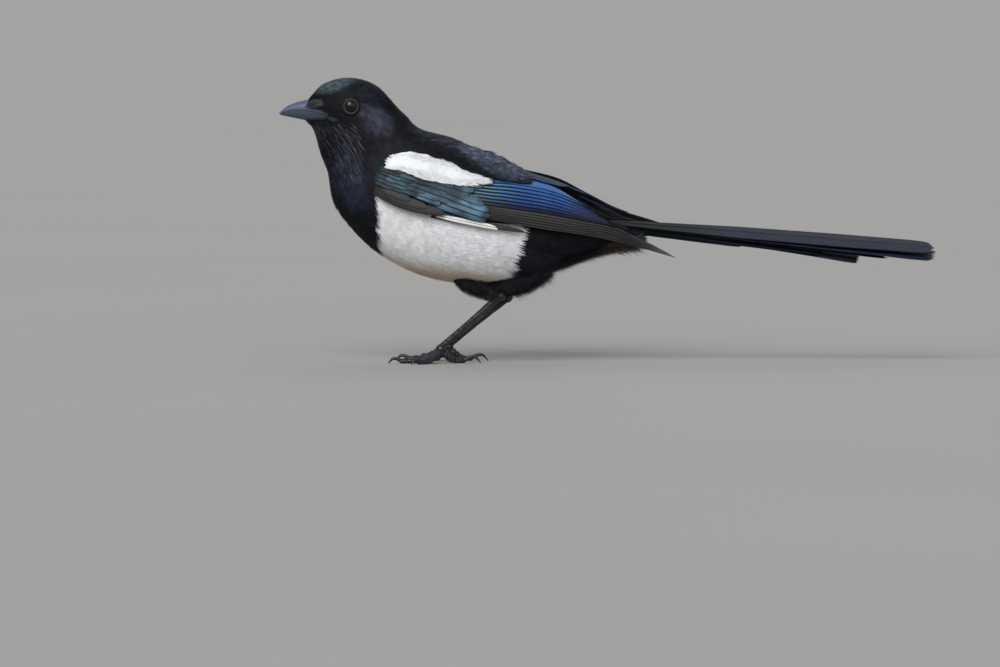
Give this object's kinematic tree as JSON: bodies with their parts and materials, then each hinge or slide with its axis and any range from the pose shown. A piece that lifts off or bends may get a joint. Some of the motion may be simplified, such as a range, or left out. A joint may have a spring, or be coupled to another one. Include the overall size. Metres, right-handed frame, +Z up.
{
  "type": "eurasian magpie still model",
  "caption": "Life-size still model of a Eurasian magpie standing on both feet with folded wings and a long level tail.",
  "frame": {"origin": "on the floor, under the middle of the length from bill tip to tail tip, midway between the wings' widest points", "axes": "+X from bill to tail, so the bird faces -X, +Y to its right side, +Z up"},
  "size_m": [0.4063, 0.086, 0.1767],
  "materials": {
    "black_plumage": "soft",
    "white_plumage": "soft",
    "flight_feather": "satin",
    "horn": "satin",
    "leg_skin": "satin",
    "eye": "gloss"
  },
  "bodies": {
    "root": {"head": "black_plumage", "neck": "black_plumage", "back": "black_plumage", "breast": "black_plumage", "vent": "black_plumage", "thigh_left": "black_plumage", "thigh_right": "black_plumage", "belly": "white_plumage", "scapulars_left": "white_plumage", "scapulars_right": "white_plumage", "wing_left": "flight_feather", "wing_right": "flight_feather", "tail": "flight_feather", "bill_upper": "horn", "bill_lower": "horn", "claw_inner_left": "horn", "claw_middle_left": "horn", "claw_outer_left": "horn", "claw_hind_left": "horn", "claw_inner_right": "horn", "claw_middle_right": "horn", "claw_outer_right": "horn", "claw_hind_right": "horn", "leg_left": "leg_skin", "leg_right": "leg_skin", "foot_left": "leg_skin", "foot_right": "leg_skin", "eye_left": "eye", "eye_right": "eye"}
  },
  "joints": []
}
